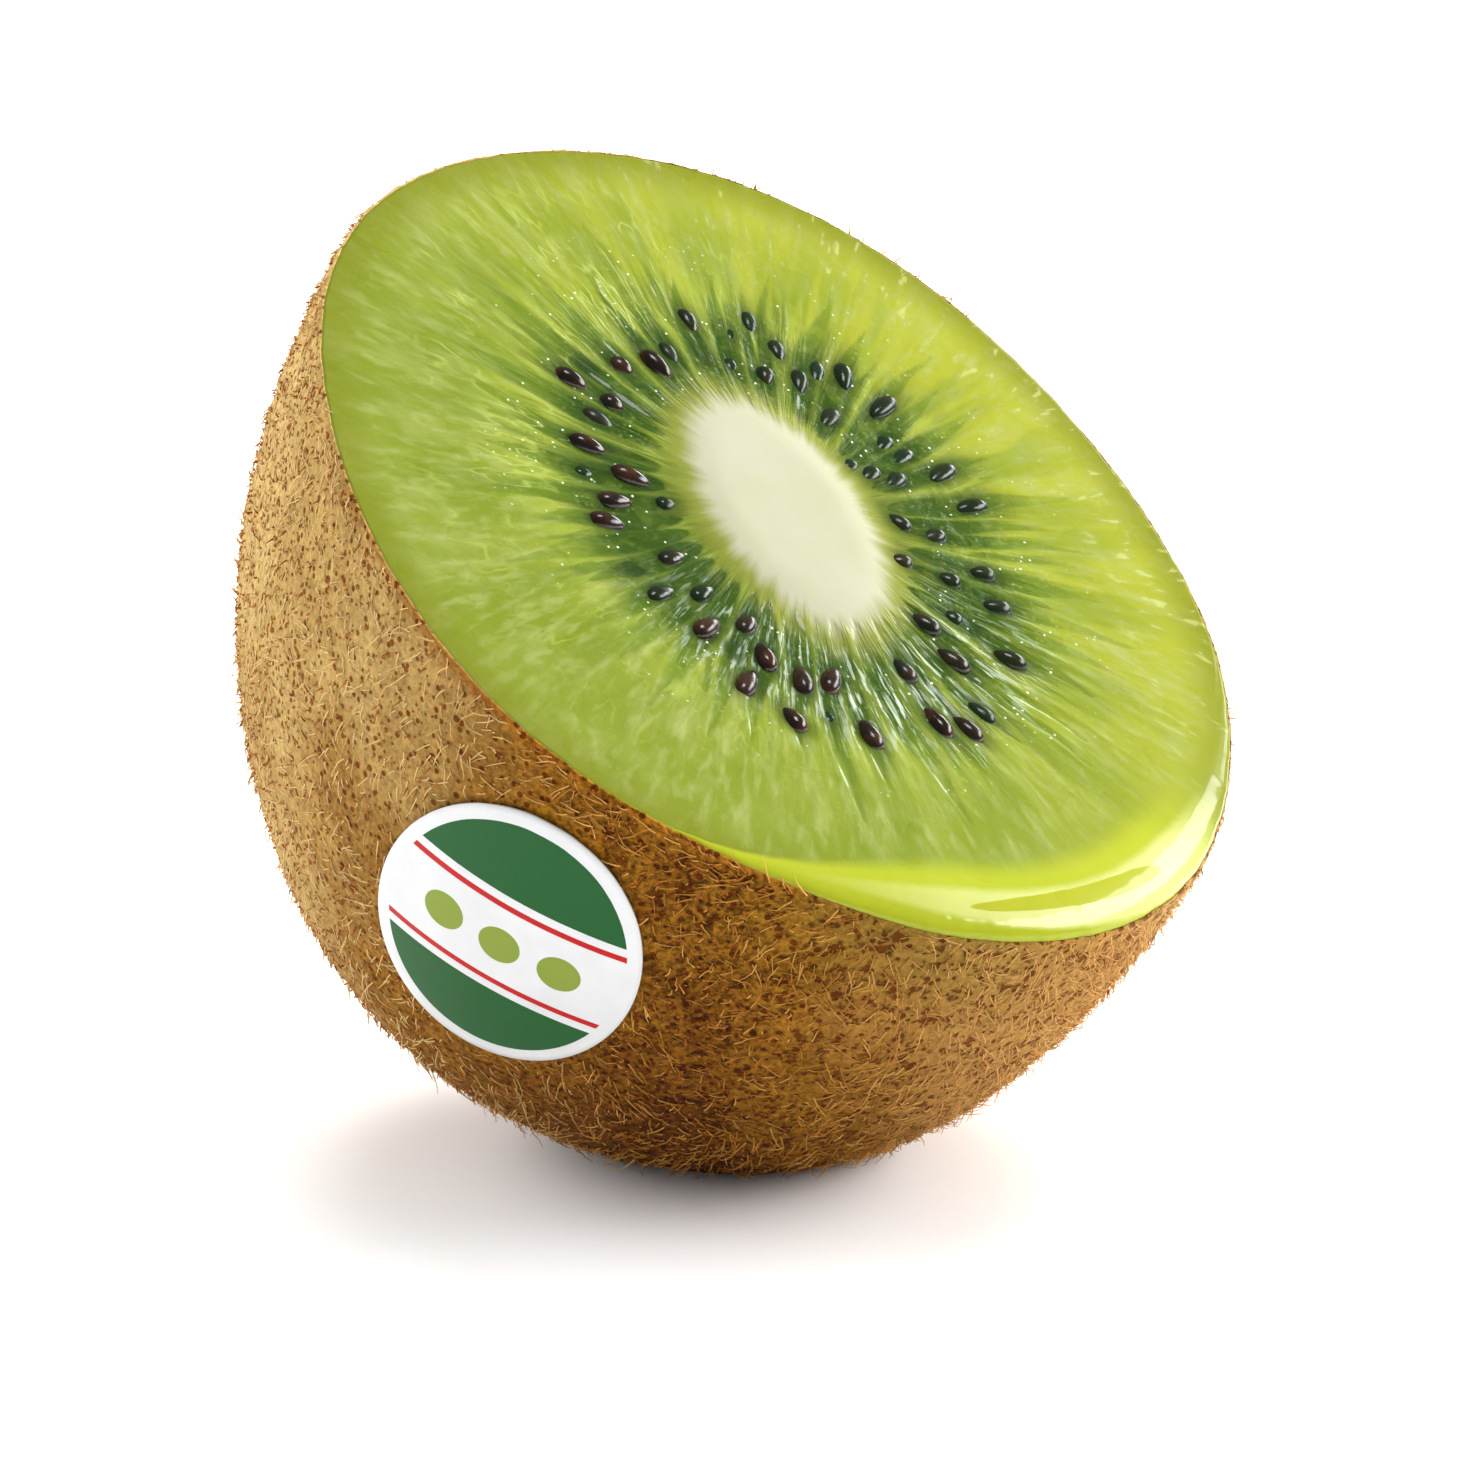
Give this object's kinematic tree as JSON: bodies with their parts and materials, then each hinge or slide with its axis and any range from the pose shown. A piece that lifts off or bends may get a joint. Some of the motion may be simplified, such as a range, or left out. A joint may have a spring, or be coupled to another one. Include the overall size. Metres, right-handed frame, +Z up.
{
  "type": "kiwi fruit half",
  "caption": "Half of a green kiwi fruit, cut across, with a pale core ringed by small black seeds, fuzzy brown skin and a plain oval sticker, standing tilted on a small flat spot.",
  "frame": {"origin": "middle of the bounding box, at the height of the flat spot that the fruit rests on", "axes": "+Z up from the surface it stands on; the cut face looks up and leans towards -Y; +X to the right seen from the cut's low side"},
  "size_m": [0.0478, 0.0492, 0.0458],
  "materials": {
    "fruit": "wet green flesh inside a brown fuzzy skin",
    "label": "smooth printed paper"
  },
  "bodies": {
    "root": {"kiwi_half": "fruit", "fruit_label": "label"}
  },
  "joints": []
}
